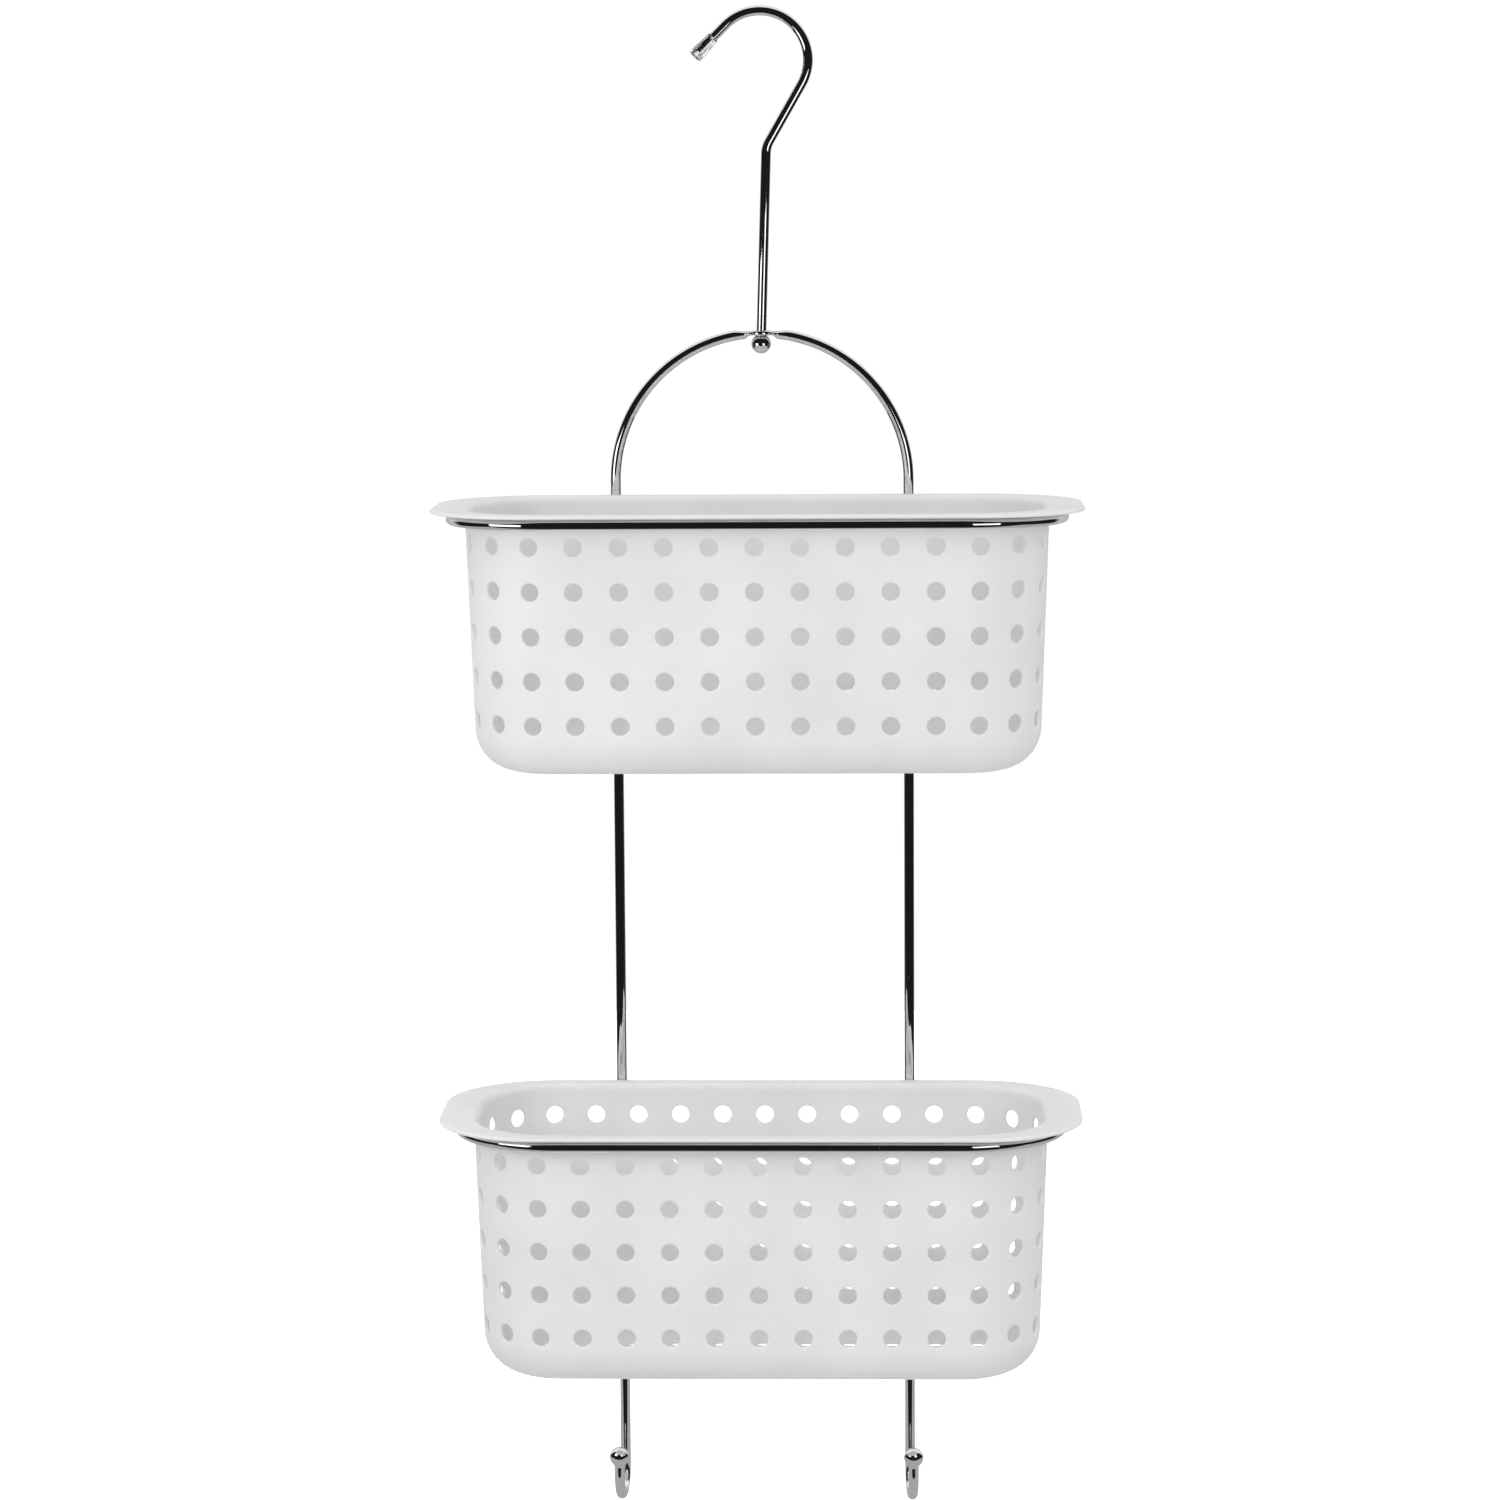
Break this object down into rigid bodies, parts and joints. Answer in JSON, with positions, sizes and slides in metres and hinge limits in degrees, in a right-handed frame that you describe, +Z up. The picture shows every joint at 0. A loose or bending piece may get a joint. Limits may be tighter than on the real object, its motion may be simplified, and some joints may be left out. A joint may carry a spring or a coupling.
{
  "type": "shower caddy",
  "caption": "Hanging shower caddy: a ball-swivel rail hook carries a chromed wire frame whose rings hold perforated lift-out plastic baskets above small utility hooks.",
  "frame": {"origin": "inside top of the rail hook, at the middle of the wire's width, where it bears on a rail", "axes": "+Z up along the hanging direction, +X to the right along the baskets' width, -Y out of the baskets' front towards the user"},
  "size_m": [0.305, 0.1425, 0.7328],
  "materials": {
    "chrome_wire": "polished chrome plating on steel wire",
    "frosted_plastic": "natural translucent polypropylene, satin moulded finish",
    "clear_cap": "clear soft vinyl"
  },
  "bodies": {
    "hanger": {"hook_wire": "chrome_wire", "hook_tip_cap": "clear_cap", "swivel_ball": "chrome_wire"},
    "frame": {"frame_arch": "chrome_wire", "left_leg": "chrome_wire", "right_leg": "chrome_wire", "left_utility_hook": "chrome_wire", "right_utility_hook": "chrome_wire", "left_hook_ball": "chrome_wire", "right_hook_ball": "chrome_wire", "upper_ring": "chrome_wire", "lower_ring": "chrome_wire"},
    "upper_bin": {"upper_basket": "frosted_plastic"},
    "lower_bin": {"lower_basket": "frosted_plastic"}
  },
  "joints": [
    {"name": "hook_swivel", "type": "hinge", "parent": "hanger", "child": "frame", "pos_m": [0, 0, -0.1564], "axis": [0, 0, 1], "continuous": true},
    {"name": "upper_basket_lift", "type": "slide", "parent": "frame", "child": "upper_bin", "axis": [0, -0.0436, 0.999], "range_m": [0, 0.13]},
    {"name": "lower_basket_lift", "type": "slide", "parent": "frame", "child": "lower_bin", "axis": [0, -0.0436, 0.999], "range_m": [0, 0.13]}
  ]
}
